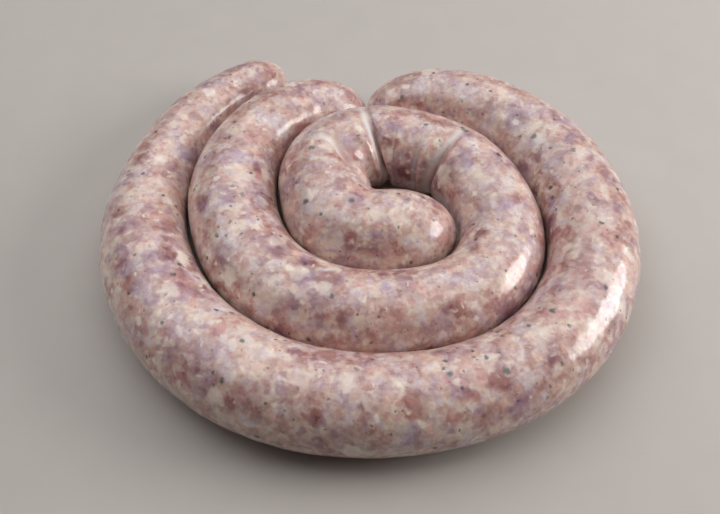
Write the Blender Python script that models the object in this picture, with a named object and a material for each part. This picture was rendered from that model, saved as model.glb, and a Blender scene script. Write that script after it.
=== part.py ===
"""A coil of fresh sausage: two links in one casing, wound flat into a spiral of about two and a half turns.

Units are metres, +Z up. The origin is under the middle of the coil, on the surface that it lies on,
and the sausage rests on a flat strip along its underside. The sausage's inner end lies near the
middle of the coil. Seen from above, the sausage runs clockwise from there, bends tightly back round
the eye of the coil, and is then wound outwards, each turn laid against the one inside it. At the
back the casing is twisted to a thin neck, where the first link ends and the second begins.
"""

import math

import bmesh
import bpy
import numpy as np

MM = 0.001

# Places along the sausage are given as turn: degrees wound clockwise about the eye of the coil,
# from the inner end. Bearings are degrees on the table, counted anticlockwise from +X.
INNER_END_BEARING = 328.0
TOTAL_TURN = 928.0
TURN_STEP = 2.0

# The tight inner bend: the middle line's distance from the eye at each eighth of a turn. The lead
# is where it would be an eighth of a turn before the inner end, which keeps that end straight.
EIGHTH_TURN = 45.0
HOOK_RADII = tuple(radius * MM for radius in (30.0, 22.6, 23.6, 20.9, 24.1, 24.2, 25.5, 34.6, 48.0))
HOOK_LEAD = 60.0 * MM
WOUND_FROM = 335.0

# The gaps between the turns, which press together at the front and part a little at the sides.
SNUG_GAP = 0.5 * MM
LEFT_GAP = 0.5 * MM
LEFT_BEARING = 185.0
RIGHT_GAP = 0.9 * MM
RIGHT_BEARING = 30.0
SETTLING_TURN = 22.0
LIFTING_TURN = 12.0
WINDING_PASSES = 5
TOUCHING_TURN = 190.0
TUCKED_TURNS = (860.0, 890.0)

# Half of the sausage's width along its length, as pairs of turn and half width.
HALF_WIDTHS = (
    (0.0, 16.3 * MM),
    (60.0, 17.3 * MM),
    (110.0, 17.7 * MM),
    (180.0, 17.0 * MM),
    (270.0, 16.2 * MM),
    (360.0, 15.5 * MM),
    (455.0, 16.3 * MM),
    (500.0, 16.4 * MM),
    (540.0, 15.0 * MM),
    (640.0, 15.5 * MM),
    (680.0, 16.3 * MM),
    (750.0, 15.7 * MM),
    (812.0, 17.0 * MM),
    (835.0, 16.5 * MM),
    (885.0, 13.0 * MM),
    (928.0, 11.6 * MM),
)

# The cross-section is lower than it is wide, and cut flat where it lies on the table.
HEIGHT_RATIO = 0.88
SECTION_RATIO = 0.92

# Where the sausage bends more tightly than it is thick, its two sides press together across an
# upright plane: the turns of those planes, the gap that is left at them, how slowly it opens, and
# how far round from the plane the sausage is held back.
PINCH_TURNS = (88.0, 180.0)
PINCH_GAP = 0.4 * MM
PINCH_SLOPE = 0.04
PINCH_REACH = 60.0

# The rounded ends, and the neck between the links with the shoulders that run down to it.
INNER_DOME = 18.5 * MM
OUTER_DOME = 14.0 * MM
NECK_TURN = 592.0
NECK_RADIUS = 50.0 * MM
NECK_HALF_WIDTH = 3.6 * MM
NECK_HEIGHT = 4.0 * MM
INNER_SHOULDER = 42.0 * MM
OUTER_SHOULDER = 45.0 * MM

# Creases that radiate from the eye where the casing is crowded on the inside of the bend:
# turn, depth, half width along the sausage, and how far each reaches round it from the eye's side.
CREASE_SIDE = 255.0
CREASES = (
    (178.0, 3.2 * MM, 2.8 * MM, 120.0),
    (229.0, 3.4 * MM, 2.6 * MM, 150.0),
    (250.0, 0.8 * MM, 2.0 * MM, 70.0),
    (272.0, 1.0 * MM, 2.2 * MM, 75.0),
    (298.0, 3.2 * MM, 2.6 * MM, 120.0),
)

# The mesh: rings along the sausage, closer together where it is creased and at its ends.
RINGS = 206
SIDES = 24
BODY_SPACING = 6.6 * MM
BEND_SPACING = 1.7 * MM
BEND_TURNS = (150.0, 310.0)
BEND_FADE = 25.0
TIP_SPACING = 0.35 * MM
DOME_SPACING = 0.8 * MM
FINE_STEPS = 4000
LINE_CHORD = 2.0 * MM
SEAM_DISTANCE = 0.001 * MM

SAUSAGE_COLOUR = (0.56, 0.33, 0.30, 1.0)


def clear_scene():
    """Remove every object from the scene."""
    for item in list(bpy.data.objects):
        bpy.data.objects.remove(item, do_unlink=True)


def ease(x):
    """Rise from 0 to 1, level at both ends."""
    x = np.clip(x, 0.0, 1.0)
    return x * x * (3.0 - 2.0 * x)


def dome(x):
    """Height of a quarter circle over x from 0 to 1, and 1 beyond it."""
    return np.sqrt(1.0 - (1.0 - np.clip(x, 0.0, 1.0)) ** 2)


def body_half_width(turn):
    """Half width of the sausage, leaving out its ends and neck."""
    stops = np.array([stop[0] for stop in HALF_WIDTHS])
    widths = np.array([stop[1] for stop in HALF_WIDTHS])
    i = np.clip(np.searchsorted(stops, turn, side="right") - 1, 0, len(stops) - 2)
    return widths[i] + (widths[i + 1] - widths[i]) * ease((turn - stops[i]) / (stops[i + 1] - stops[i]))


def neck_fullness(turn):
    """0 at the twisted neck, 1 on the body of either link."""
    away = np.radians(turn - NECK_TURN) * NECK_RADIUS
    return np.where(away < 0.0, dome(-away / INNER_SHOULDER), dome(away / OUTER_SHOULDER))


def hook_radius(turn):
    """Distance of the middle line from the eye in the hook, on a smooth curve through HOOK_RADII."""
    place = turn / EIGHTH_TURN
    i = min(int(place), len(HOOK_RADII) - 2)
    t = place - i
    before = HOOK_RADII[i - 1] if i else HOOK_LEAD
    near, far = HOOK_RADII[i], HOOK_RADII[i + 1]
    after = HOOK_RADII[i + 2] if i + 2 < len(HOOK_RADII) else 2.0 * far - near
    slope_near, slope_far = (far - before) / 2.0, (after - near) / 2.0
    rise = far - near
    return (near + slope_near * t + (3.0 * rise - 2.0 * slope_near - slope_far) * t * t
            + (slope_near + slope_far - 2.0 * rise) * t ** 3)


def gap_at(turn):
    """Gap that a turn keeps to the one inside it. The outer end is tucked in against its neighbour."""
    bearing = INNER_END_BEARING - turn
    left = max(0.0, math.cos(math.radians(bearing - LEFT_BEARING))) ** 2
    right = max(0.0, math.cos(math.radians(bearing - RIGHT_BEARING))) ** 2
    start, end = TUCKED_TURNS
    loose = 1.0 - float(ease((turn - start) / (end - start)))
    return SNUG_GAP + (LEFT_GAP * left + RIGHT_GAP * right) * loose


def direction(turn):
    """Unit vectors from the eye towards turns along the sausage."""
    bearing = np.radians(INNER_END_BEARING - np.asarray(turn))
    return np.stack((np.cos(bearing), np.sin(bearing)), axis=-1)


def padded(values, count):
    """Values with count more at either end, which carry the line's slope on past its ends."""
    before = 2.0 * values[0] - values[count:0:-1]
    after = 2.0 * values[-1] - values[-2:-count - 2:-1]
    return np.concatenate((before, values, after))


def averaged(values, turn):
    """Running average that fades out at a number of degrees to either side."""
    half = int(turn / TURN_STEP)
    weights = np.hanning(2 * half + 3)[1:-1]
    return np.convolve(padded(values, half), weights / weights.sum(), "valid")


def highest(values, turn):
    """Running maximum over a number of degrees to either side."""
    half = int(turn / TURN_STEP)
    windows = np.lib.stride_tricks.sliding_window_view(padded(values, half), 2 * half + 1)
    return windows.max(axis=1)


def closest_radii(turns, points, widths):
    """How near the eye each point can lie when it touches the turns already wound inside it."""
    along = direction(turns) @ points.T
    aside = np.sum(points ** 2, axis=1) - along ** 2
    gaps = np.array([gap_at(turn) for turn in turns])
    reach = widths[:, None] + widths + gaps[:, None]
    touching = (reach ** 2 > aside) & (turns < turns[:, None] - TOUCHING_TURN)
    rest = along + np.sqrt(np.maximum(reach ** 2 - aside, 0.0))
    return np.max(np.where(touching, rest, 0.0), axis=1)


def wind_coil():
    """Turns along the sausage and the middle line's distance from the eye at each of them.

    The hook's distances are given. Beyond it each point lies as close to the eye as the turn inside
    it allows, and the curve is settled to an even sweep. Each pass carries this about a turn further.
    """
    turns = np.arange(0.0, TOTAL_TURN + TURN_STEP / 2.0, TURN_STEP)
    hook = np.array([hook_radius(min(turn, WOUND_FROM)) for turn in turns])
    bodies = NECK_HALF_WIDTH + (body_half_width(turns) - NECK_HALF_WIDTH) * neck_fullness(turns)
    radii = hook
    for _ in range(WINDING_PASSES):
        points = direction(turns) * radii[:, None]
        lengths = np.cumsum(np.linalg.norm(np.diff(points, axis=0, prepend=points[:1]), axis=1))
        widths = np.minimum(bodies, lengths)
        wound = np.where(turns < WOUND_FROM, hook, closest_radii(turns, points, widths))
        even = averaged(wound, SETTLING_TURN)
        overlap = highest(np.maximum(wound - even, 0.0), LIFTING_TURN)
        radii = even + averaged(overlap, LIFTING_TURN)
    return turns, radii


class MiddleLine:
    """The sausage's middle line, and the sizes of the sausage at distances along it."""

    def __init__(self):
        self.turns, radii = wind_coil()
        self.points = direction(self.turns) * radii[:, None]
        steps = np.linalg.norm(np.diff(self.points, axis=0), axis=1)
        self.distances = np.concatenate(([0.0], np.cumsum(steps)))
        self.length = float(self.distances[-1])

    def turn(self, along):
        """Turn at a distance along the line."""
        return np.interp(along, self.distances, self.turns)

    def along(self, turn):
        """Distance along the line at a turn."""
        return np.interp(turn, self.turns, self.distances)

    def point(self, along):
        """Point of the line at a distance along it."""
        x = np.interp(along, self.distances, self.points[:, 0])
        y = np.interp(along, self.distances, self.points[:, 1])
        return np.stack((x, y), axis=-1)

    def outward(self, along):
        """Unit vector across the line, pointing away from the eye."""
        back = np.maximum(along - LINE_CHORD, 0.0)
        ahead = np.minimum(along + LINE_CHORD, self.length)
        run = self.point(ahead) - self.point(back)
        run /= np.linalg.norm(run, axis=-1, keepdims=True)
        return np.stack((-run[..., 1], run[..., 0]), axis=-1)


def ring_spacing(line, along):
    """Distance between neighbouring rings at a distance along the sausage."""
    turn = line.turn(along)
    bend_start, bend_end = BEND_TURNS
    bend = ease((turn - bend_start) / BEND_FADE + 1.0) * ease((bend_end - turn) / BEND_FADE + 1.0)
    neck = 1.0 - neck_fullness(turn)
    spacing = BODY_SPACING + (BEND_SPACING - BODY_SPACING) * np.maximum(bend, neck)
    to_end = np.minimum(along, line.length - along)
    return np.minimum(spacing, TIP_SPACING + DOME_SPACING * np.sqrt(np.maximum(to_end, 0.0) / MM))


def place_rings(line, rings):
    """Distances of the rings along the sausage, crowded as ring_spacing asks."""
    fine = np.linspace(0.0, line.length, FINE_STEPS)
    spacing = ring_spacing(line, (fine[1:] + fine[:-1]) / 2.0)
    count = np.concatenate(([0.0], np.cumsum(np.diff(fine) / spacing)))
    return np.interp(np.linspace(0.0, count[-1], rings), count, fine)


def crease_depth(line, along, around):
    """Depth of the creases. Around is in degrees: 0 under, 90 away from the eye, 180 on top."""
    depth = np.zeros(np.broadcast(along, around).shape)
    for turn, deepest, half_width, reach in CREASES:
        off_line = (along - line.along(turn)) / half_width
        off_eye = np.abs(around - CREASE_SIDE) / reach
        depth += deepest * np.exp(-off_line ** 2) * (1.0 - ease(off_eye))
    return depth


def held_apart(line, along, flat):
    """Points seen from above, held back where the two sides of a tight bend would pass each other."""
    for pinch in PINCH_TURNS:
        middle = line.along(pinch)
        outward = line.outward(middle)
        ahead = np.array((outward[1], -outward[0]))
        side = np.sign(along - middle)
        clear = side * ((flat - line.point(middle)) @ ahead)
        wanted = np.minimum(PINCH_GAP / 2.0, PINCH_SLOPE * np.abs(along - middle))
        near = np.abs(line.turn(along) - pinch) < PINCH_REACH
        flat = flat + (side * np.where(near, np.maximum(wanted - clear, 0.0), 0.0))[:, None] * ahead
    return flat


def skin_points(line, along, around):
    """Points of the casing at distances along the sausage and angles round it."""
    turn = line.turn(along)
    body = body_half_width(turn)
    fullness = neck_fullness(turn)
    rounding = dome(along / INNER_DOME) * dome((line.length - along) / OUTER_DOME)
    half_width = (NECK_HALF_WIDTH + (body - NECK_HALF_WIDTH) * fullness) * rounding
    height = NECK_HEIGHT + ((2.0 * HEIGHT_RATIO - SECTION_RATIO) * body - NECK_HEIGHT) * fullness
    half_width = np.maximum(half_width - crease_depth(line, along, around) * rounding, 0.0)
    aside = half_width * np.sin(np.radians(around))
    flat = held_apart(line, along, line.point(along) + line.outward(along) * aside[:, None])
    z = np.maximum(height - SECTION_RATIO * half_width * np.cos(np.radians(around)), 0.0)
    return np.column_stack((flat, z))


def build_sausage():
    """The whole sausage as one closed skin: a grid rolled into a tube that closes at both ends."""
    line = MiddleLine()
    rings = place_rings(line, RINGS)
    bm = bmesh.new()
    bmesh.ops.create_grid(bm, x_segments=RINGS - 1, y_segments=SIDES, size=0.5)
    grid = np.array([vert.co for vert in bm.verts])
    along = rings[np.rint((grid[:, 0] + 0.5) * (RINGS - 1)).astype(int)]
    around = 360.0 * (grid[:, 1] + 0.5)
    points = skin_points(line, along, around)
    low, high = points.min(axis=0), points.max(axis=0)
    points[:, :2] -= (low + high)[:2] / 2.0
    for vert, point in zip(bm.verts, points):
        vert.co = point
    bmesh.ops.remove_doubles(bm, verts=bm.verts, dist=SEAM_DISTANCE)
    bmesh.ops.recalc_face_normals(bm, faces=bm.faces)
    mesh = bpy.data.meshes.new("sausage")
    bm.to_mesh(mesh)
    bm.free()
    mesh.shade_smooth()
    sausage = bpy.data.objects.new("sausage", mesh)
    bpy.context.scene.collection.objects.link(sausage)
    return sausage


def meat_material():
    """Raw meat seen through its moist casing."""
    material = bpy.data.materials.new("fresh_sausage")
    material.use_nodes = True
    surface = material.node_tree.nodes["Principled BSDF"]
    surface.inputs["Base Color"].default_value = SAUSAGE_COLOUR
    surface.inputs["Roughness"].default_value = 0.35
    surface.inputs["Metallic"].default_value = 0.0
    return material


def main():
    clear_scene()
    sausage = build_sausage()
    sausage.data.materials.append(meat_material())


main()
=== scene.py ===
"""A coil of fresh sausage over its solid model, on a pale studio floor.

Units are metres, +Z up, in the solid model's frame. The sausage is two links in one casing. Its inner
end lies near the middle of the coil. From there it runs clockwise as seen from above, bends tightly
back round the eye of the coil, and is then wound outwards, each turn laid against the one inside it.
"""

import math

import bmesh
import bpy
import numpy as np
from bpy.props import FloatProperty, FloatVectorProperty, IntProperty, PointerProperty
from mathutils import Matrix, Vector, noise


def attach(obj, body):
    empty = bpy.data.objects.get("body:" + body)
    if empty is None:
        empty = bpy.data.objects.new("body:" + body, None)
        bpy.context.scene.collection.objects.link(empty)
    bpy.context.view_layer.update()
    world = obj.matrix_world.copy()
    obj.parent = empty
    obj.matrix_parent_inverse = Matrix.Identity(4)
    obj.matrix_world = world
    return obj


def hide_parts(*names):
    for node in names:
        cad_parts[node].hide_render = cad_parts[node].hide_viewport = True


bl_info = {
    "name": "Coil of fresh sausage",
    "version": (1, 0, 0),
    "blender": (4, 5, 0),
    "location": "View3D > Sidebar > Sausage",
    "description": "Builds a coil of fresh sausage, its raw meat finish and a plain studio",
    "category": "Object",
}

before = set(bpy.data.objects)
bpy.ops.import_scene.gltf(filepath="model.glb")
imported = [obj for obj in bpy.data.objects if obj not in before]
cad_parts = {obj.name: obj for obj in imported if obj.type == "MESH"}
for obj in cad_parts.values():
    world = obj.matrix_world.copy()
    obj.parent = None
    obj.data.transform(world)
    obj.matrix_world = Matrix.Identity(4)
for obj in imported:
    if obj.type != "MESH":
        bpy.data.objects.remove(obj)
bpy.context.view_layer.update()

MM = 0.001

# Places along the sausage are given as turn: degrees wound clockwise about the eye of the coil,
# from the inner end. Bearings are degrees on the table, counted anticlockwise from +X.
INNER_END_BEARING = 328.0
TOTAL_TURN = 928.0
TURN_STEP = 2.0

# The tight inner bend: the middle line's distance from the eye at each eighth of a turn. The lead
# is where it would be an eighth of a turn before the inner end, which keeps that end straight.
EIGHTH_TURN = 45.0
HOOK_RADII = tuple(radius * MM for radius in (30.0, 22.6, 23.6, 20.9, 24.1, 24.2, 25.5, 34.6, 48.0))
HOOK_LEAD = 60.0 * MM
WOUND_FROM = 335.0

# The gaps between the turns, which press together at the front and part a little at the sides.
SNUG_GAP = 0.5 * MM
LEFT_GAP = 0.5 * MM
LEFT_BEARING = 185.0
RIGHT_GAP = 0.9 * MM
RIGHT_BEARING = 30.0
SETTLING_TURN = 22.0
LIFTING_TURN = 12.0
WINDING_PASSES = 5
TOUCHING_TURN = 190.0
TUCKED_TURNS = (860.0, 890.0)

# Half of the sausage's width along its length, as pairs of turn and half width.
HALF_WIDTHS = (
    (0.0, 16.3 * MM),
    (60.0, 17.3 * MM),
    (110.0, 17.7 * MM),
    (180.0, 17.0 * MM),
    (270.0, 16.2 * MM),
    (360.0, 15.5 * MM),
    (455.0, 16.3 * MM),
    (500.0, 16.4 * MM),
    (540.0, 15.0 * MM),
    (640.0, 15.5 * MM),
    (680.0, 16.3 * MM),
    (750.0, 15.7 * MM),
    (812.0, 17.0 * MM),
    (835.0, 16.5 * MM),
    (885.0, 13.0 * MM),
    (928.0, 11.6 * MM),
)

# The cross-section is lower than it is wide, and cut flat where it lies on the table.
HEIGHT_RATIO = 0.88
SECTION_RATIO = 0.92

# Where the sausage bends more tightly than it is thick, its two sides press together across an
# upright plane: the turns of those planes, the gap that is left at them, how slowly it opens, and
# how far round from the plane the sausage is held back.
PINCH_TURNS = (88.0, 180.0)
PINCH_GAP = 1.0 * MM
PINCH_SLOPE = 0.04
PINCH_REACH = 60.0

# The rounded ends, and the neck between the links with the shoulders that run down to it.
INNER_DOME = 18.5 * MM
OUTER_DOME = 14.0 * MM
NECK_TURN = 592.0
NECK_RADIUS = 50.0 * MM
NECK_HALF_WIDTH = 3.6 * MM
NECK_HEIGHT = 4.0 * MM
INNER_SHOULDER = 42.0 * MM
OUTER_SHOULDER = 45.0 * MM

# Angles round the sausage, in degrees: its top, and the side that faces the eye of the coil.
TOP = 180.0
CREASE_SIDE = 255.0

# Creases that run from the eye's side of the sausage up over it, where the casing is crowded on the
# inside of the bend. Each has its turn on top of the sausage, how far it swings from there as it goes
# down to an angle round the sausage, its depth, the half widths of its banks towards the inner end
# and away from it, how far round the sausage it reaches, and the height of the skin that is pushed up
# beside it.
CREASES = (
    (182.0, -80.0, 236.0, 3.9 * MM, 5.2 * MM, 5.8 * MM, 98.0, 0.9 * MM),
    (227.0, 22.0, 275.0, 3.5 * MM, 3.4 * MM, 1.4 * MM, 150.0, 0.8 * MM),
    (253.0, 4.0, 275.0, 1.0 * MM, 1.6 * MM, 1.2 * MM, 62.0, 0.25 * MM),
    (280.0, 2.0, 275.0, 1.3 * MM, 1.8 * MM, 1.2 * MM, 66.0, 0.3 * MM),
    (302.0, -3.0, 275.0, 4.4 * MM, 4.0 * MM, 1.5 * MM, 106.0, 1.0 * MM),
)

# How sharp a crease is at its bottom, and where its pillow lies and how wide it is, in banks.
CREASE_SHARPNESS = 1.3
PILLOW_PLACE = 2.0
PILLOW_SPREAD = 0.9

# Beside a crease, towards the inner end, a highlight is painted pale on the casing, wider on the eye's
# side.
# Shade is painted dark down in the crease. A full crease is painted fully, and a shallow one less.
CREASE_HIGHLIGHT_PLACE = 0.55
CREASE_HIGHLIGHT_SPREAD = 0.5
CREASE_HIGHLIGHT_WIDTHS = (0.5, 1.15)
CREASE_SHADE_PLACE = 0.35
CREASE_SHADE_SPREAD = 0.7
FULL_CREASE = 3.0 * MM
PAINT_FADE = 0.35

# Fine wrinkles on the inside of the bend, between the creases. They sway along the sausage by a share
# of their pitch, and change slowly round it: by so many millimetres of noise for each degree.
WRINKLE_TURNS = (236.0, 312.0)
WRINKLE_REACH = 85.0
WRINKLE_PITCH = 1.9 * MM
WRINKLE_SWAY = 0.35
WRINKLE_SWAYS = 3.0
WRINKLE_CHANGE = 0.02

# The twist of the casing at the neck, the puckers that run from it up the shoulders, and the puckers
# of the tips. The puckers sway about even spacing, and the powers say how fast the folds fade.
TWIST_FOLDS = 6
TWIST_PITCH = 18.0 * MM
TWIST_SHARE = 0.13
TWIST_FADE = 4
PUCKER_FOLDS = 14
PUCKER_DEPTH = 0.55 * MM
PUCKER_SWAY = 1.7
PUCKER_SWAYS = 3.0
PUCKER_FADE = 1.5
TIP_FOLDS = 9
TIP_PUCKER = 0.28 * MM
TIP_SWAY = 0.8
TIP_SWAYS = 2.0
TIP_PUCKER_REACH = 7.0 * MM

# Each lumpy noise of the skin starts at its own place: this shift times its seed.
NOISE_SHIFT = (7.31, 3.17, 5.53)
SWELL_SEED = 1
LUMP_SEED = 2
WRINKLE_SEED = 4

# The mesh: rings along the sausage, closer together where it is creased and at its ends. There their
# spacing grows with the root of the distance to the tip in millimetres. The rings are counted out in
# fine steps, the line's direction is taken over a chord to either side, and the seam is closed last.
BODY_SPACING = 1.15 * MM
BEND_SPACING = 0.5 * MM
BEND_TURNS = (150.0, 310.0)
BEND_FADE = 25.0
TIP_SPACING = 0.08 * MM
DOME_SPACING = 0.3 * MM
FINE_STEPS = 6000
LINE_CHORD = 2.0 * MM
SEAM_DISTANCE = 0.001 * MM

# The meat's finish is worked out in millimetres. A noise is given by its lumps for each millimetre,
# its detail and its roughness, and a warp by its lumps for each millimetre and how far it pushes.
# The mince has coarse pieces, and fine ones that are FINENESS times smaller.
COARSE_WARP = (0.25, 2.2)
FINE_WARP = (0.7, 0.9)
FINENESS = 2.1
BROAD_NOISE = (0.085, 2.0, 0.6)
GRAIN_NOISE = (0.8, 4.0, 0.65)

# How far the coarse mince, the fine mince and the broad noise move the meat's fatness and its hue,
# with the grain last for fatness, and where their colours stand from 0 to 1.
FATNESS_SHARES = (0.36, 0.28, 0.82, 0.38)
FATNESS_STOPS = (0.18, 0.36, 0.50, 0.63, 0.84)
HUE_SHARES = (0.42, 0.30, 1.10)
HUE_STOPS = (0.26, 0.42, 0.58, 0.76)
WHITE = (1.0, 1.0, 1.0)

# Bits laid into the mince, from the lowest layer up. Each kind has its node group, its outline, its
# spacing, share, radius and softness, how it is laid and how strongly, and its colour. The faintest
# and the smallest bits of a kind have these shares of its strength and of its radius.
BIT_SETTINGS = ("Spacing", "Share", "Radius", "Softness")
SMALL_BITS = "Scattered bits"
BROAD_BITS = "Broad patches"
RAGGED_WARP = (0.8, 0.6)
TORN_WARP = (0.24, 2.5)
TORN_EDGE_WARP = (0.8, 0.8)
BIT_LAYERS = (
    (BROAD_BITS, "torn", (10.5, 0.6, 6.0, 2.2), "MULTIPLY", 0.95, "mauve_patch"),
    (BROAD_BITS, "torn", (8.9, 0.6, 5.2, 1.7), "MULTIPLY", 1.0, "red_patch"),
    (SMALL_BITS, "torn", (9.7, 0.30, 2.8, 1.6), "MULTIPLY", 0.4, "smudge"),
    (BROAD_BITS, "torn", (8.2, 0.45, 3.7, 1.3), "MIX", 0.68, "fat_piece"),
    (SMALL_BITS, "torn", (3.7, 0.42, 1.3, 0.5), "MIX", 0.7, "fat_piece"),
    (SMALL_BITS, "ragged", (6.3, 0.14, 1.0, 0.4), "MIX", 0.6, "blood_and_crease_shade"),
)
FAINTEST_BIT = 0.25
SMALLEST_BIT = 0.35

# Herb flecks, larger herb leaves and specks of pepper, given like the bits above.
HERB_FLECKS = (4.4, 0.42, 0.85, 0.34)
HERB_LEAVES = (11.5, 0.6, 1.4, 0.45)
PEPPER_SPECKS = (2.3, 0.26, 0.44, 0.18)
FLECK_STRENGTH = 0.85
LEAF_STRENGTH = 0.9
SPECK_STRENGTH = 0.65
HERB_STOPS = (0.0, 0.4, 0.9)

# Strength of the painted highlight and painted shade at the creases, and how the dampness varies.
CREASE_HIGHLIGHT_STRENGTH = 1.0
CREASE_SHADE_STRENGTH = 0.65
DAMP_NOISE = (0.12, 2.0, 0.6)
DAMP_RANGE = (0.3, 0.7)
ROUGHNESS_RANGE = (0.38, 0.52)

# The casing's fine relief, as noises and their heights in millimetres: coarse and fine lumps of mince
# that press through it, then grain. Hairline wrinkles follow the casing's map, which is scaled up more
# along the sausage than round it, so that they run round.
CASING_NOISES = (
    ((0.3, 0.0, 0.5), 0.22),
    ((0.45, 1.0, 0.55), 0.28),
    ((2.2, 1.0, 0.5), 0.02),
)
HAIRLINE_MAP_SCALE = (877.0, 40.0, 1.0)
HAIRLINE_NOISE = (0.8, 1.0, 0.5)
HAIRLINE_HEIGHT = 0.04

# The camera looks down over the front of the coil.
VIEW_TARGET = (-0.0030, -0.0064, 0.0)
VIEW_DISTANCE = 0.3021
VIEW_ELEVATION = 52.0
VIEW_LENS = 40.19
SENSOR_WIDTH = 36.0

# The floor, with a faint mottle between its colour and a slightly darker one.
FLOOR_SIZE = 4.0
FLOOR_DROP = 0.05 * MM
MOTTLE_NOISE = (60.0, 3.0)
MOTTLE_STOPS = (0.3, 0.7)
MOTTLE_SHADE = 0.97

# The soft lights: name, bearing and elevation as seen from the coil, distance, size, the setting that
# holds its power, and colour. The sky lights everything evenly.
SOFTBOXES = (
    ("window_light", 3.0, 24.0, 0.9, (0.56, 0.46), "key_power", (1.0, 0.99, 0.97)),
    ("top_light", 92.0, 64.0, 1.2, (2.4, 1.7), "top_power", (0.98, 0.99, 1.0)),
    ("fill_light", 165.0, 50.0, 1.3, (1.2, 1.0), "fill_power", (1.0, 0.98, 0.97)),
)
SKY_COLOUR = (1.0, 0.94, 0.9)

# How the nodes are spread out in the node editor, and the places of a Mix node's sockets for colour.
NODES_IN_ROW = 12
NODE_STEP = (180.0, -260.0)
MIX_SHARE = 0
MIX_UNDER = 6
MIX_OVER = 7
MIX_COLOUR = 2


def ease(x):
    """Rise from 0 to 1, level at both ends."""
    x = np.clip(x, 0.0, 1.0)
    return x * x * (3.0 - 2.0 * x)


def dome(x):
    """Height of a quarter circle over x from 0 to 1, and 1 beyond it."""
    return np.sqrt(1.0 - (1.0 - np.clip(x, 0.0, 1.0)) ** 2)


def body_half_width(turn):
    """Half width of the sausage, leaving out its ends and neck."""
    stops = np.array([stop[0] for stop in HALF_WIDTHS])
    widths = np.array([stop[1] for stop in HALF_WIDTHS])
    i = np.clip(np.searchsorted(stops, turn, side="right") - 1, 0, len(stops) - 2)
    return widths[i] + (widths[i + 1] - widths[i]) * ease((turn - stops[i]) / (stops[i + 1] - stops[i]))


def neck_fullness(turn):
    """0 at the twisted neck, 1 on the body of either link."""
    away = np.radians(turn - NECK_TURN) * NECK_RADIUS
    return np.where(away < 0.0, dome(-away / INNER_SHOULDER), dome(away / OUTER_SHOULDER))


def hook_radius(turn):
    """Distance of the middle line from the eye in the hook, on a smooth curve through HOOK_RADII."""
    place = turn / EIGHTH_TURN
    i = min(int(place), len(HOOK_RADII) - 2)
    t = place - i
    before = HOOK_RADII[i - 1] if i else HOOK_LEAD
    near, far = HOOK_RADII[i], HOOK_RADII[i + 1]
    after = HOOK_RADII[i + 2] if i + 2 < len(HOOK_RADII) else 2.0 * far - near
    slope_near, slope_far = (far - before) / 2.0, (after - near) / 2.0
    rise = far - near
    return (near + slope_near * t + (3.0 * rise - 2.0 * slope_near - slope_far) * t * t
            + (slope_near + slope_far - 2.0 * rise) * t ** 3)


def gap_at(turn):
    """Gap that a turn keeps to the one inside it. The outer end is tucked in against its neighbour."""
    bearing = INNER_END_BEARING - turn
    left = max(0.0, math.cos(math.radians(bearing - LEFT_BEARING))) ** 2
    right = max(0.0, math.cos(math.radians(bearing - RIGHT_BEARING))) ** 2
    start, end = TUCKED_TURNS
    loose = 1.0 - float(ease((turn - start) / (end - start)))
    return SNUG_GAP + (LEFT_GAP * left + RIGHT_GAP * right) * loose


def direction(turn):
    """Unit vectors from the eye towards turns along the sausage."""
    bearing = np.radians(INNER_END_BEARING - np.asarray(turn))
    return np.stack((np.cos(bearing), np.sin(bearing)), axis=-1)


def padded(values, count):
    """Values with count more at either end, which carry the line's slope on past its ends."""
    before = 2.0 * values[0] - values[count:0:-1]
    after = 2.0 * values[-1] - values[-2:-count - 2:-1]
    return np.concatenate((before, values, after))


def averaged(values, turn):
    """Running average that fades out at a number of degrees to either side."""
    half = int(turn / TURN_STEP)
    weights = np.hanning(2 * half + 3)[1:-1]
    return np.convolve(padded(values, half), weights / weights.sum(), "valid")


def highest(values, turn):
    """Running maximum over a number of degrees to either side."""
    half = int(turn / TURN_STEP)
    windows = np.lib.stride_tricks.sliding_window_view(padded(values, half), 2 * half + 1)
    return windows.max(axis=1)


def closest_radii(turns, points, widths):
    """How near the eye each point can lie when it touches the turns already wound inside it."""
    along = direction(turns) @ points.T
    aside = np.sum(points ** 2, axis=1) - along ** 2
    gaps = np.array([gap_at(turn) for turn in turns])
    reach = widths[:, None] + widths + gaps[:, None]
    touching = (reach ** 2 > aside) & (turns < turns[:, None] - TOUCHING_TURN)
    rest = along + np.sqrt(np.maximum(reach ** 2 - aside, 0.0))
    return np.max(np.where(touching, rest, 0.0), axis=1)


def wind_coil():
    """Turns along the sausage and the middle line's distance from the eye at each of them.

    The hook's distances are given. Beyond it each point lies as close to the eye as the turn inside
    it allows, and the curve is settled to an even sweep. Each pass carries this about a turn further.
    """
    turns = np.arange(0.0, TOTAL_TURN + TURN_STEP / 2.0, TURN_STEP)
    hook = np.array([hook_radius(min(turn, WOUND_FROM)) for turn in turns])
    bodies = NECK_HALF_WIDTH + (body_half_width(turns) - NECK_HALF_WIDTH) * neck_fullness(turns)
    radii = hook
    for _ in range(WINDING_PASSES):
        points = direction(turns) * radii[:, None]
        lengths = np.cumsum(np.linalg.norm(np.diff(points, axis=0, prepend=points[:1]), axis=1))
        widths = np.minimum(bodies, lengths)
        wound = np.where(turns < WOUND_FROM, hook, closest_radii(turns, points, widths))
        even = averaged(wound, SETTLING_TURN)
        overlap = highest(np.maximum(wound - even, 0.0), LIFTING_TURN)
        radii = even + averaged(overlap, LIFTING_TURN)
    return turns, radii


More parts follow.
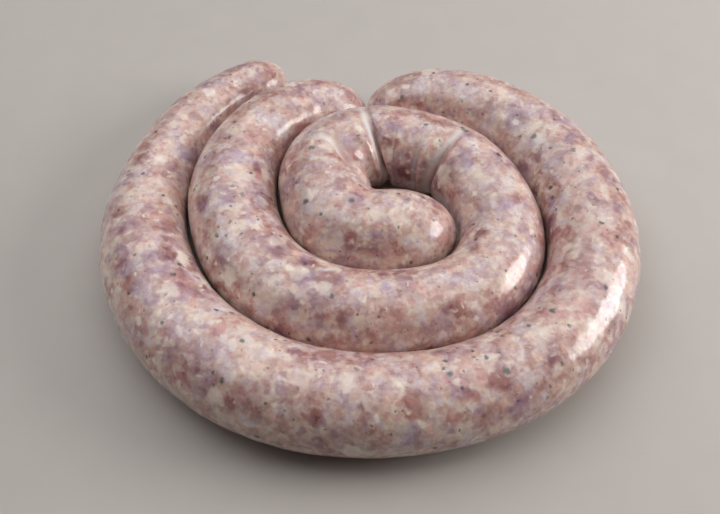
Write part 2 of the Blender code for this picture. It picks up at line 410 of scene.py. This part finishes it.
class MiddleLine:
    """The sausage's middle line, and the sizes of the sausage at distances along it."""

    def __init__(self):
        self.turns, radii = wind_coil()
        self.points = direction(self.turns) * radii[:, None]
        steps = np.linalg.norm(np.diff(self.points, axis=0), axis=1)
        self.distances = np.concatenate(([0.0], np.cumsum(steps)))
        self.length = float(self.distances[-1])

    def turn(self, along):
        """Turn at a distance along the line."""
        return np.interp(along, self.distances, self.turns)

    def along(self, turn):
        """Distance along the line at a turn."""
        return np.interp(turn, self.turns, self.distances)

    def point(self, along):
        """Point of the line at a distance along it."""
        x = np.interp(along, self.distances, self.points[:, 0])
        y = np.interp(along, self.distances, self.points[:, 1])
        return np.stack((x, y), axis=-1)

    def outward(self, along):
        """Unit vector across the line, pointing away from the eye."""
        back = np.maximum(along - LINE_CHORD, 0.0)
        ahead = np.minimum(along + LINE_CHORD, self.length)
        run = self.point(ahead) - self.point(back)
        run /= np.linalg.norm(run, axis=-1, keepdims=True)
        return np.stack((-run[..., 1], run[..., 0]), axis=-1)


def window(turn, start, end, fade):
    """1 between two turns, fading to 0 outside them."""
    return ease((turn - start) / fade + 1.0) * ease((end - turn) / fade + 1.0)


def ring_spacing(line, along):
    """Distance between neighbouring rings at a distance along the sausage."""
    turn = line.turn(along)
    bend = window(turn, *BEND_TURNS, BEND_FADE)
    neck = 1.0 - neck_fullness(turn)
    spacing = BODY_SPACING + (BEND_SPACING - BODY_SPACING) * np.maximum(bend, neck)
    to_end = np.minimum(along, line.length - along)
    return np.minimum(spacing, TIP_SPACING + DOME_SPACING * np.sqrt(np.maximum(to_end, 0.0) / MM))


def place_rings(line, rings):
    """Distances of the rings along the sausage, crowded as ring_spacing asks."""
    fine = np.linspace(0.0, line.length, FINE_STEPS)
    spacing = ring_spacing(line, (fine[1:] + fine[:-1]) / 2.0)
    count = np.concatenate(([0.0], np.cumsum(np.diff(fine) / spacing)))
    return np.interp(np.linspace(0.0, count[-1], rings), count, fine)


def from_eye_side(around):
    """Degrees round the sausage from the side that faces the eye of the coil."""
    away = np.abs(around - CREASE_SIDE)
    return np.minimum(away, 360.0 - away)


def crease_places(line, along, around):
    """For each crease: how far off it points lie in widths of its banks, how strong it is there, its
    depth, and the height of its pillow.
    """
    for turn, swing, swung_at, deepest, bank_before, bank_after, reach, pillow in CREASES:
        swung = np.clip((around - TOP) / (swung_at - TOP), 0.0, 1.0) ** 2
        off_line = along - line.along(turn + swing * swung)
        off_line = off_line / np.where(off_line < 0.0, bank_before, bank_after)
        yield off_line, ease(1.0 - from_eye_side(around) / reach), deepest, pillow


def crease_relief(line, along, around):
    """Height of the skin over the plain form at the creases and at the pillows before them."""
    relief = np.zeros(len(along))
    for off_line, fade, deepest, pillow in crease_places(line, along, around):
        relief -= deepest * fade * np.exp(-np.abs(off_line) ** CREASE_SHARPNESS)
        relief += pillow * fade * np.exp(-((off_line + PILLOW_PLACE) / PILLOW_SPREAD) ** 2)
    return relief


def crease_paint(line, along, around):
    """How strongly the painted highlight lies beside the creases, and the painted shade in them."""
    stretched, bloody = np.zeros(len(along)), np.zeros(len(along))
    for off_line, fade, deepest, _ in crease_places(line, along, around):
        share = fade ** PAINT_FADE * min(1.0, deepest / FULL_CREASE)
        narrowest, widest = CREASE_HIGHLIGHT_WIDTHS
        off_pale = off_line / (narrowest + (widest - narrowest) * fade)
        pale = share * np.exp(-((off_pale + CREASE_HIGHLIGHT_PLACE) / CREASE_HIGHLIGHT_SPREAD) ** 2)
        stretched = np.maximum(stretched, pale)
        # Painted shade down in the crease, centred a little past its line.
        red = share * np.exp(-((off_line - CREASE_SHADE_PLACE) / CREASE_SHADE_SPREAD) ** 2)
        bloody = np.maximum(bloody, red)
    return stretched, bloody


def noise_at(points, size, seed):
    """Smooth noise between about -1 and 1 at points, with lumps of about a size."""
    shift = Vector([seed * part for part in NOISE_SHIFT])
    return np.array([noise.noise(Vector(point) / size + shift) for point in points.tolist()])


def wrinkle_relief(line, along, around, height):
    """Fine wrinkles across the sausage on the inside of the bend."""
    sway = WRINKLE_SWAY * WRINKLE_PITCH * np.sin(np.radians(WRINKLE_SWAYS * around))
    places = np.column_stack((along + sway, around * WRINKLE_CHANGE * MM, np.zeros(len(along))))
    ridges = noise_at(places, WRINKLE_PITCH, WRINKLE_SEED)
    fade = 1.0 - ease(from_eye_side(around) / WRINKLE_REACH)
    return height * ridges * fade * window(line.turn(along), *WRINKLE_TURNS, BEND_FADE)


def folds(angle, count, sway, sways):
    """Folds round the sausage, from -1 to 1, which sway about even spacing."""
    return np.cos(count * angle + sway * np.sin(sways * angle))


def twist_relief(line, along, around):
    """The casing's twist at the neck, and the puckers that spread from it and from both tips."""
    fullness = neck_fullness(line.turn(along))
    angle = np.radians(around)
    thin = 1.0 - fullness
    wound = math.tau * (along - line.along(NECK_TURN)) / TWIST_PITCH
    twist = TWIST_SHARE * NECK_HALF_WIDTH * np.cos(TWIST_FOLDS * angle + wound)
    pucker = PUCKER_DEPTH * folds(angle, PUCKER_FOLDS, PUCKER_SWAY, PUCKER_SWAYS) * fullness
    to_tip = np.minimum(along, line.length - along)
    tip = TIP_PUCKER * folds(angle, TIP_FOLDS, TIP_SWAY, TIP_SWAYS)
    shoulders = twist * thin ** TWIST_FADE + pucker * thin ** PUCKER_FADE
    return shoulders + tip * (1.0 - ease(to_tip / TIP_PUCKER_REACH))


def held_apart(line, along, flat):
    """Points seen from above, held back where the two sides of a tight bend would pass each other."""
    for pinch in PINCH_TURNS:
        middle = line.along(pinch)
        outward = line.outward(middle)
        ahead = np.array((outward[1], -outward[0]))
        side = np.sign(along - middle)
        clear = side * ((flat - line.point(middle)) @ ahead)
        wanted = np.minimum(PINCH_GAP / 2.0, PINCH_SLOPE * np.abs(along - middle))
        near = np.abs(line.turn(along) - pinch) < PINCH_REACH
        flat = flat + (side * np.where(near, np.maximum(wanted - clear, 0.0), 0.0))[:, None] * ahead
    return flat


def skin_points(line, along, around, relief):
    """Points of the casing at distances along the sausage and angles round it.

    Around is in degrees: 0 under, 90 away from the eye, 180 on top. The relief stands out from the
    plain form, and fades away at the tips.
    """
    turn = line.turn(along)
    body = body_half_width(turn)
    fullness = neck_fullness(turn)
    rounding = dome(along / INNER_DOME) * dome((line.length - along) / OUTER_DOME)
    half_width = (NECK_HALF_WIDTH + (body - NECK_HALF_WIDTH) * fullness) * rounding
    height = NECK_HEIGHT + ((2.0 * HEIGHT_RATIO - SECTION_RATIO) * body - NECK_HEIGHT) * fullness
    half_width = np.maximum(half_width + relief * rounding, 0.0)
    aside = half_width * np.sin(np.radians(around))
    flat = held_apart(line, along, line.point(along) + line.outward(along) * aside[:, None])
    z = np.maximum(height - SECTION_RATIO * half_width * np.cos(np.radians(around)), 0.0)
    return np.column_stack((flat, z))


def casing_relief(line, along, around, plain, settings):
    """Everything that stands out from the points of the plain form or is pressed into them."""
    lumps = settings.swell_height * noise_at(plain, settings.swell_size, SWELL_SEED)
    lumps += settings.lump_height * noise_at(plain, settings.lump_size, LUMP_SEED)
    relief = crease_relief(line, along, around) + lumps
    relief += wrinkle_relief(line, along, around, settings.wrinkle_height)
    return relief + twist_relief(line, along, around)


def roll_grid(bm, rings, sides):
    """A flat grid of rings by sides in the bmesh, and each vertex's ring and degrees round the tube."""
    bmesh.ops.create_grid(bm, x_segments=rings - 1, y_segments=sides, size=0.5)
    grid = np.array([vert.co for vert in bm.verts])
    ring = np.rint((grid[:, 0] + 0.5) * (rings - 1)).astype(int)
    return ring, 360.0 * (grid[:, 1] + 0.5)


def lay_casing_map(bm, line, along, around):
    """A UV map that follows the casing: U along the sausage and V round it, both from 0 to 1."""
    layer = bm.loops.layers.uv.new("casing")
    bm.verts.index_update()
    u = along / line.length
    v = around / 360.0
    for face in bm.faces:
        for loop in face.loops:
            i = loop.vert.index
            loop[layer].uv = (u[i], v[i])


def lay_crease_paint(bm, line, along, around):
    """Vertex values for the material: the painted highlight beside the creases and the painted shade in
    them.
    """
    for name, values in zip(("stretched", "bloody"), crease_paint(line, along, around)):
        layer = bm.verts.layers.float.new(name)
        for vert, value in zip(bm.verts, values.tolist()):
            vert[layer] = value


def new_piece(name, bm):
    """An object at the origin with the bmesh as its mesh, smooth shaded and linked to the scene."""
    mesh = bpy.data.meshes.new(name)
    bm.to_mesh(mesh)
    bm.free()
    mesh.shade_smooth()
    piece = bpy.data.objects.new(name, mesh)
    bpy.context.scene.collection.objects.link(piece)
    return piece


def make_sausage(settings):
    """The whole sausage as one closed skin: a grid rolled into a tube that closes at both ends."""
    line = MiddleLine()
    stations = place_rings(line, settings.rings)
    bm = bmesh.new()
    ring, around = roll_grid(bm, settings.rings, settings.sides)
    along = stations[ring]
    plain = skin_points(line, along, around, np.zeros(len(along)))
    relief = casing_relief(line, along, around, plain, settings)
    points = skin_points(line, along, around, relief)
    points[:, :2] -= (plain.min(axis=0) + plain.max(axis=0))[:2] / 2.0
    for vert, point in zip(bm.verts, points.tolist()):
        vert.co = point
    lay_casing_map(bm, line, along, around)
    lay_crease_paint(bm, line, along, around)
    bmesh.ops.remove_doubles(bm, verts=bm.verts, dist=SEAM_DISTANCE)
    bmesh.ops.recalc_face_normals(bm, faces=bm.faces)
    return new_piece("fresh_sausage", bm)


def opaque(colour):
    """A colour with full alpha, as colour sockets take it."""
    return (*colour, 1.0)


class Wiring:
    """Adds nodes to a node tree and joins them."""

    def __init__(self, tree):
        self.tree = tree
        self.count = 0

    def add(self, kind, inputs=None, **settings):
        """A node with its settings, its inputs set to values or joined to sockets."""
        node = self.tree.nodes.new(kind)
        self.count += 1
        row, column = divmod(self.count, NODES_IN_ROW)
        node.location = (NODE_STEP[0] * column, NODE_STEP[1] * row)
        for name, value in settings.items():
            setattr(node, name, value)
        for name, value in (inputs or {}).items():
            socket = node.inputs[name]
            if isinstance(value, bpy.types.NodeSocket):
                self.tree.links.new(value, socket)
            else:
                socket.default_value = value
        return node

    def math(self, operation, *values):
        """The result of a Math node."""
        return self.add("ShaderNodeMath", dict(enumerate(values)), operation=operation).outputs[0]

    def sum(self, first, *others):
        """The sum of some values."""
        total = first
        for value in others:
            total = self.math("ADD", total, value)
        return total

    def blend(self, share, under, over, mode="MIX"):
        """One colour laid over another by a share."""
        inputs = {MIX_SHARE: share, MIX_UNDER: under, MIX_OVER: over}
        return self.add("ShaderNodeMix", inputs, data_type="RGBA", blend_type=mode).outputs[MIX_COLOUR]

    def noise(self, where, scale, detail=2.0, roughness=0.5):
        """A Noise node's fac and colour, at a scale in lumps for each unit of the positions."""
        node = self.add(
            "ShaderNodeTexNoise",
            {"Vector": where, "Scale": scale, "Detail": detail, "Roughness": roughness},
        )
        return node.outputs["Fac"], node.outputs["Color"]

    def ramp(self, value, stops, colours):
        """A Color Ramp's colour, with a colour at each of its stops."""
        node = self.add("ShaderNodeValToRGB", {"Fac": value})
        elements = node.color_ramp.elements
        while len(elements) < len(stops):
            elements.new(0.5)
        for element, stop, colour in zip(elements, stops, colours):
            element.position = stop
            element.color = opaque(colour)
        return node.outputs["Color"]

    def chances(self, colour):
        """Three chances from 0 to 1, held in the red, green and blue of a texture's colour."""
        return self.add("ShaderNodeSeparateColor", {"Color": colour}).outputs

    def remap(self, value, low, high, to_low=0.0, to_high=1.0):
        """A value from one range moved smoothly into another."""
        node = self.add(
            "ShaderNodeMapRange",
            {"Value": value, "From Min": low, "From Max": high, "To Min": to_low, "To Max": to_high},
            interpolation_type="SMOOTHSTEP",
        )
        return node.outputs["Result"]

    def vector(self, operation, inputs):
        """The result of a Vector Math node."""
        return self.add("ShaderNodeVectorMath", inputs, operation=operation).outputs[0]

    def warp(self, where, scale, reach):
        """Positions pushed about by up to a reach."""
        _, colour = self.noise(where, scale, 1.0)
        push = self.vector("SUBTRACT", {0: colour, 1: (0.5, 0.5, 0.5)})
        push = self.vector("SCALE", {0: push, "Scale": 2.0 * reach})
        return self.vector("ADD", {0: where, 1: push})


def bits_group(name, faded):
    """A node group: bits scattered through the meat, as a mask and a tint for each bit.

    Broad bits that would meet the bounds of their cells are faded there.
    """
    group = bpy.data.node_groups.new(name, "ShaderNodeTree")
    socket = group.interface.new_socket
    socket("Position", in_out="INPUT", socket_type="NodeSocketVector")
    for setting in BIT_SETTINGS:
        socket(setting, in_out="INPUT", socket_type="NodeSocketFloat")
    socket("Mask", in_out="OUTPUT", socket_type="NodeSocketFloat")
    socket("Tint", in_out="OUTPUT", socket_type="NodeSocketFloat")
    wiring = Wiring(group)
    given = wiring.add("NodeGroupInput").outputs
    inputs = {"Vector": given["Position"], "Scale": wiring.math("DIVIDE", 1.0, given["Spacing"])}
    cells = wiring.add("ShaderNodeTexVoronoi", inputs, feature="F1")
    chance = wiring.chances(cells.outputs["Color"])
    kept = wiring.math("LESS_THAN", chance["Red"], given["Share"])
    if faded:
        edges = wiring.add("ShaderNodeTexVoronoi", inputs, feature="DISTANCE_TO_EDGE")
        room = wiring.math("MULTIPLY", edges.outputs["Distance"], given["Spacing"])
        kept = wiring.math("MULTIPLY", kept, wiring.remap(room, 0.0, given["Softness"]))
    size = wiring.math("MULTIPLY_ADD", chance["Green"], 1.0 - SMALLEST_BIT, SMALLEST_BIT)
    radius = wiring.math("MULTIPLY", size, given["Radius"])
    away = wiring.math("MULTIPLY", cells.outputs["Distance"], given["Spacing"])
    outer = wiring.math("ADD", radius, given["Softness"])
    inner = wiring.math("SUBTRACT", radius, given["Softness"])
    spot = wiring.remap(away, outer, inner)
    mask = wiring.math("MULTIPLY", spot, kept)
    wiring.add("NodeGroupOutput", {"Mask": mask, "Tint": chance["Blue"]})
    return group


def scatter(wiring, group, where, kind):
    """Mask and tint of one kind of bit, given by its spacing, share, radius and softness."""
    inputs = {"Position": where, **dict(zip(BIT_SETTINGS, kind))}
    node = wiring.add("ShaderNodeGroup", inputs, node_tree=group)
    return node.outputs["Mask"], node.outputs["Tint"]


def mince(wiring, where, scale, blur):
    """Chances for each piece of mince, which run into each other at its bounds."""
    inputs = {"Vector": where, "Scale": scale, "Smoothness": blur}
    return wiring.chances(wiring.add("ShaderNodeTexVoronoi", inputs, feature="SMOOTH_F1").outputs["Color"])


def mix_chances(wiring, parts, shares):
    """Chances mixed into one: each moves the mix away from a half by its share."""
    swings = [
        wiring.math("MULTIPLY", wiring.math("SUBTRACT", part, 0.5), share)
        for part, share in zip(parts, shares)
    ]
    return wiring.sum(0.5, *swings)


def mince_colour(wiring, where, settings):
    """The mosaic of lean and fat under the casing."""
    scale = 1.0 / settings.mince_size
    fine_scale = FINENESS / settings.mince_size
    coarse = mince(wiring, wiring.warp(where, *COARSE_WARP), scale, settings.mince_blur)
    fine = mince(wiring, wiring.warp(where, *FINE_WARP), fine_scale, settings.mince_blur)
    broad, broad_colour = wiring.noise(where, *BROAD_NOISE)
    grain, _ = wiring.noise(where, *GRAIN_NOISE)
    fatness = mix_chances(wiring, (coarse["Red"], fine["Green"], broad, grain), FATNESS_SHARES)
    meats = (settings.dark_lean, settings.lean, settings.mixed, settings.pale, settings.fat)
    meat = wiring.ramp(fatness, FATNESS_STOPS, meats)
    broad_hue = wiring.chances(broad_colour)["Green"]
    hue = mix_chances(wiring, (coarse["Blue"], fine["Blue"], broad_hue), HUE_SHARES)
    tints = (settings.mauve_tint, WHITE, settings.tan_tint, settings.pink_tint)
    return wiring.blend(1.0, meat, wiring.ramp(hue, HUE_STOPS, tints), "MULTIPLY")


def casing_height(wiring, where):
    """Fine relief in millimetres: mince pressing through the casing, grain and hairline wrinkles."""
    heights = []
    for kind, tallest in CASING_NOISES:
        relief, _ = wiring.noise(where, *kind)
        heights.append(wiring.math("MULTIPLY", relief, tallest))
    uv = wiring.add("ShaderNodeUVMap", uv_map="casing").outputs["UV"]
    casing = wiring.add("ShaderNodeMapping", {"Vector": uv, "Scale": HAIRLINE_MAP_SCALE})
    hairline, _ = wiring.noise(casing.outputs["Vector"], *HAIRLINE_NOISE)
    return wiring.sum(*heights, wiring.math("MULTIPLY", hairline, HAIRLINE_HEIGHT))


def scatter_bits(wiring, colour, where, settings):
    """Patches of lean, pieces of fat, herbs and pepper laid into the mince."""
    groups = {SMALL_BITS: bits_group(SMALL_BITS, False), BROAD_BITS: bits_group(BROAD_BITS, True)}
    ragged = wiring.warp(where, *RAGGED_WARP)
    torn = wiring.warp(wiring.warp(where, *TORN_WARP), *TORN_EDGE_WARP)
    outlines = {"ragged": ragged, "torn": torn}
    for group, outline, kind, mode, strength, paint in BIT_LAYERS:
        mask, tint = scatter(wiring, groups[group], outlines[outline], kind)
        shown = wiring.remap(tint, 0.0, 1.0, FAINTEST_BIT * strength, strength)
        share = wiring.math("MULTIPLY", mask, shown)
        colour = wiring.blend(share, colour, opaque(getattr(settings, paint)), mode)
    flecks, herb_tint = scatter(wiring, groups[SMALL_BITS], ragged, HERB_FLECKS)
    leaves, _ = scatter(wiring, groups[SMALL_BITS], ragged, HERB_LEAVES)
    flecks = wiring.math("MULTIPLY", flecks, FLECK_STRENGTH)
    leaves = wiring.math("MULTIPLY", leaves, LEAF_STRENGTH)
    herb_colour = wiring.ramp(herb_tint, HERB_STOPS, (settings.pepper, settings.herb, settings.dry_herb))
    colour = wiring.blend(wiring.math("MAXIMUM", flecks, leaves), colour, herb_colour)
    specks, _ = scatter(wiring, groups[SMALL_BITS], ragged, PEPPER_SPECKS)
    share = wiring.math("MULTIPLY", specks, SPECK_STRENGTH)
    return wiring.blend(share, colour, opaque(settings.pepper))


def make_meat(settings):
    """Raw minced meat seen through its thin, moist casing."""
    material = bpy.data.materials.new("fresh_sausage_meat")
    material.use_nodes = True
    tree = material.node_tree
    surface = tree.nodes["Principled BSDF"]
    wiring = Wiring(tree)
    place = wiring.add("ShaderNodeTexCoord").outputs["Object"]
    where = wiring.add("ShaderNodeMapping", {"Vector": place, "Scale": (1.0 / MM, 1.0 / MM, 1.0 / MM)})
    where = where.outputs["Vector"]
    colour = mince_colour(wiring, where, settings)
    colour = scatter_bits(wiring, colour, where, settings)
    # Painted highlight beside the creases, then painted shade in them, laid over the meat's colour.
    paints = (
        ("stretched", CREASE_HIGHLIGHT_STRENGTH, settings.stretched),
        ("bloody", CREASE_SHADE_STRENGTH, settings.blood_and_crease_shade),
    )
    for name, strength, paint in paints:
        share = wiring.add("ShaderNodeAttribute", attribute_name=name).outputs["Fac"]
        colour = wiring.blend(wiring.math("MULTIPLY", share, strength), colour, opaque(paint))
    tree.links.new(colour, surface.inputs["Base Color"])
    damp, _ = wiring.noise(where, *DAMP_NOISE)
    tree.links.new(wiring.remap(damp, *DAMP_RANGE, *ROUGHNESS_RANGE), surface.inputs["Roughness"])
    height = casing_height(wiring, where)
    for socket, depth in (("Normal", settings.bump_depth), ("Coat Normal", settings.coat_bump_depth)):
        bump = wiring.add("ShaderNodeBump", {"Height": height, "Strength": 1.0, "Distance": depth})
        tree.links.new(bump.outputs["Normal"], surface.inputs[socket])
    surface.inputs["IOR"].default_value = 1.5
    surface.inputs["Subsurface Weight"].default_value = 0.22
    surface.inputs["Subsurface Radius"].default_value = (1.0, 0.45, 0.32)
    surface.inputs["Subsurface Scale"].default_value = 2.0 * MM
    surface.inputs["Coat Weight"].default_value = 1.0
    surface.inputs["Coat Roughness"].default_value = 0.17
    surface.inputs["Coat IOR"].default_value = 1.48
    return material


def make_floor_material(colour):
    """A plain matt surface in one pale colour with the faintest mottle."""
    material = bpy.data.materials.new("studio_floor")
    material.use_nodes = True
    tree = material.node_tree
    surface = tree.nodes["Principled BSDF"]
    wiring = Wiring(tree)
    place = wiring.add("ShaderNodeTexCoord").outputs["Object"]
    mottle, _ = wiring.noise(place, *MOTTLE_NOISE)
    darker = tuple(MOTTLE_SHADE * part for part in colour)
    tree.links.new(wiring.ramp(mottle, MOTTLE_STOPS, (darker, colour)), surface.inputs["Base Color"])
    surface.inputs["Roughness"].default_value = 0.7
    return material


def add_softbox(name, bearing, elevation, distance, size, power, colour):
    """An oval soft light that shines at the coil, placed by its bearing and elevation as seen from it."""
    lamp = bpy.data.lights.new(name, "AREA")
    lamp.shape = "ELLIPSE"
    lamp.size, lamp.size_y = size
    lamp.energy = power
    lamp.color = colour
    item = bpy.data.objects.new(name, lamp)
    bpy.context.scene.collection.objects.link(item)
    level = distance * math.cos(math.radians(elevation))
    item.location = (
        level * math.cos(math.radians(bearing)),
        level * math.sin(math.radians(bearing)),
        distance * math.sin(math.radians(elevation)),
    )
    item.rotation_euler = (-item.location).to_track_quat("-Z", "Y").to_euler()
    item.visible_camera = False


def add_camera():
    """The camera, looking down at the coil from its front."""
    lens = bpy.data.cameras.new("view")
    lens.lens = VIEW_LENS
    lens.sensor_width = SENSOR_WIDTH
    camera = bpy.data.objects.new("view", lens)
    bpy.context.scene.collection.objects.link(camera)
    tilt = math.radians(VIEW_ELEVATION)
    back = Vector((0.0, -math.cos(tilt), math.sin(tilt))) * VIEW_DISTANCE
    camera.location = Vector(VIEW_TARGET) + back
    camera.rotation_euler = (math.pi / 2.0 - tilt, 0.0, 0.0)
    bpy.context.scene.camera = camera


def colour_property(name, description, default):
    """A colour that the user can change."""
    return FloatVectorProperty(
        name=name, description=description, default=default, size=3, min=0.0, max=1.0, subtype="COLOR"
    )


def length_property(name, description, default):
    """A length that the user can change."""
    return FloatProperty(name=name, description=description, default=default, unit="LENGTH", precision=5)


class SausageShape(bpy.types.PropertyGroup):
    """Sizes of the sausage's skin."""

    rings: IntProperty(name="Rings", description="Rings of the mesh along the sausage", default=800)
    sides: IntProperty(name="Sides", description="Faces of the mesh round the sausage", default=124)
    swell_height: length_property("Swell height", "Height of the broad swells in the filling", 0.28 * MM)
    swell_size: length_property("Swell size", "Distance between the broad swells", 17.0 * MM)
    lump_height: length_property("Lump height", "Height of the lumps that the mince makes", 0.14 * MM)
    lump_size: length_property("Lump size", "Distance between the lumps", 4.5 * MM)
    wrinkle_height: length_property("Wrinkle height", "Height of the wrinkles in the bend", 0.2 * MM)


class MeatLook(bpy.types.PropertyGroup):
    """Colours of the meat and the fineness of its mince."""

    mince_size: FloatProperty(
        name="Mince size", description="Size of the coarse pieces of mince, in mm", default=3.4
    )
    mince_blur: FloatProperty(
        name="Mince blur", description="How far the pieces of mince run into each other", default=0.6
    )
    bump_depth: length_property("Bump depth", "Depth of a whole millimetre of fine relief", 0.6 * MM)
    coat_bump_depth: length_property("Coat bump depth", "The same, in the film of moisture", 0.15 * MM)
    dark_lean: colour_property("Dark lean", "The darkest lean meat", (0.37, 0.185, 0.18))
    lean: colour_property("Lean", "Lean meat", (0.52, 0.33, 0.308))
    mixed: colour_property("Mixed", "Lean and fat minced together", (0.60, 0.425, 0.388))
    pale: colour_property("Pale", "Pale, fatty mince", (0.68, 0.535, 0.485))
    fat: colour_property("Fat", "Smeared fat", (0.78, 0.655, 0.58))
    fat_piece: colour_property("Fat pieces", "Whole pieces of fat", (0.88, 0.77, 0.66))
    mauve_patch: colour_property("Mauve patches", "Tint of the broad mauve patches", (0.64, 0.54, 0.73))
    red_patch: colour_property("Red patches", "Tint of the broad patches of lean", (0.60, 0.40, 0.41))
    # Colour of the painted highlight on the bank beside each crease.
    stretched: colour_property("Crease highlight", "Casing that is stretched pale", (0.93, 0.88, 0.85))
    mauve_tint: colour_property("Mauve tint", "Tint of the cooler pieces", (0.89, 0.875, 1.0))
    tan_tint: colour_property("Tan tint", "Tint of the warmer pieces", (1.0, 0.96, 0.86))
    pink_tint: colour_property("Pink tint", "Tint of the pinker pieces", (1.0, 0.80, 0.79))
    # Colour of the small dark red bits of blood, and also of the painted shade in the creases.
    blood_and_crease_shade: colour_property("Blood", "Small dark red bits", (0.30, 0.11, 0.10))
    smudge: colour_property("Smudge", "Tint of the grey patches round the herbs", (0.52, 0.64, 0.66))
    herb: colour_property("Herb", "Green flecks of herb", (0.02, 0.045, 0.04))
    dry_herb: colour_property("Dry herb", "Brownish flecks of herb", (0.09, 0.10, 0.05))
    pepper: colour_property("Pepper", "Cracked pepper", (0.02, 0.02, 0.024))


class StudioLook(bpy.types.PropertyGroup):
    """The floor's colour and the strength of the lights."""

    floor_colour: colour_property("Floor", "Colour of the studio floor", (0.49, 0.45, 0.42))
    key_power: FloatProperty(name="Window", description="Power of the window light, in watts", default=5.6)
    top_power: FloatProperty(name="Top", description="Power of the overhead light, in watts", default=15.0)
    fill_power: FloatProperty(name="Fill", description="Power of the fill light, in watts", default=3.2)
    sky_strength: FloatProperty(name="Sky", description="Strength of the even light", default=0.04)


class SAUSAGE_OT_add_coil(bpy.types.Operator):
    """Adds the coiled sausage in its raw meat finish"""

    bl_idname = "sausage.add_coil"
    bl_label = "Add coil of sausage"

    def execute(self, context):
        piece = make_sausage(context.scene.sausage_shape)
        piece.data.materials.append(make_meat(context.scene.meat_look))
        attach(piece, "root")
        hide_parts("sausage")
        return {"FINISHED"}


class SAUSAGE_OT_add_studio(bpy.types.Operator):
    """Adds the pale floor, the soft lights and the camera"""

    bl_idname = "sausage.add_studio"
    bl_label = "Add studio"

    def execute(self, context):
        look = context.scene.studio_look
        bm = bmesh.new()
        bmesh.ops.create_grid(bm, x_segments=2, y_segments=2, size=FLOOR_SIZE / 2.0)
        bmesh.ops.translate(bm, verts=bm.verts, vec=(0.0, 0.0, -FLOOR_DROP))
        floor = new_piece("floor", bm)
        floor.data.materials.append(make_floor_material(look.floor_colour))
        for name, bearing, elevation, distance, size, power, colour in SOFTBOXES:
            add_softbox(name, bearing, elevation, distance, size, getattr(look, power), colour)
        world = bpy.data.worlds.new("studio")
        world.use_nodes = True
        sky = world.node_tree.nodes["Background"]
        sky.inputs["Color"].default_value = opaque(SKY_COLOUR)
        sky.inputs["Strength"].default_value = look.sky_strength
        context.scene.world = world
        context.scene.view_settings.view_transform = "Standard"
        add_camera()
        return {"FINISHED"}


class SAUSAGE_PT_panel(bpy.types.Panel):
    """Lists the sizes, colours and steps of the sausage"""

    bl_idname = "SAUSAGE_PT_panel"
    bl_label = "Coil of sausage"
    bl_space_type = "VIEW_3D"
    bl_region_type = "UI"
    bl_category = "Sausage"

    def draw(self, context):
        layout = self.layout
        for group in (context.scene.sausage_shape, context.scene.meat_look, context.scene.studio_look):
            box = layout.box()
            for name in group.__annotations__:
                box.prop(group, name)
        layout.operator("sausage.add_coil")
        layout.operator("sausage.add_studio")


CLASSES = (
    SausageShape,
    MeatLook,
    StudioLook,
    SAUSAGE_OT_add_coil,
    SAUSAGE_OT_add_studio,
    SAUSAGE_PT_panel,
)


def register():
    """Adds the settings, operators and panel."""
    for item in CLASSES:
        bpy.utils.register_class(item)
    bpy.types.Scene.sausage_shape = PointerProperty(type=SausageShape)
    bpy.types.Scene.meat_look = PointerProperty(type=MeatLook)
    bpy.types.Scene.studio_look = PointerProperty(type=StudioLook)


def unregister():
    """Takes the settings, operators and panel away again."""
    del bpy.types.Scene.studio_look
    del bpy.types.Scene.meat_look
    del bpy.types.Scene.sausage_shape
    for item in reversed(CLASSES):
        bpy.utils.unregister_class(item)


def main():
    """Builds the sausage and its studio."""
    register()
    bpy.ops.sausage.add_coil()
    bpy.ops.sausage.add_studio()


if __name__ == "__main__":
    main()
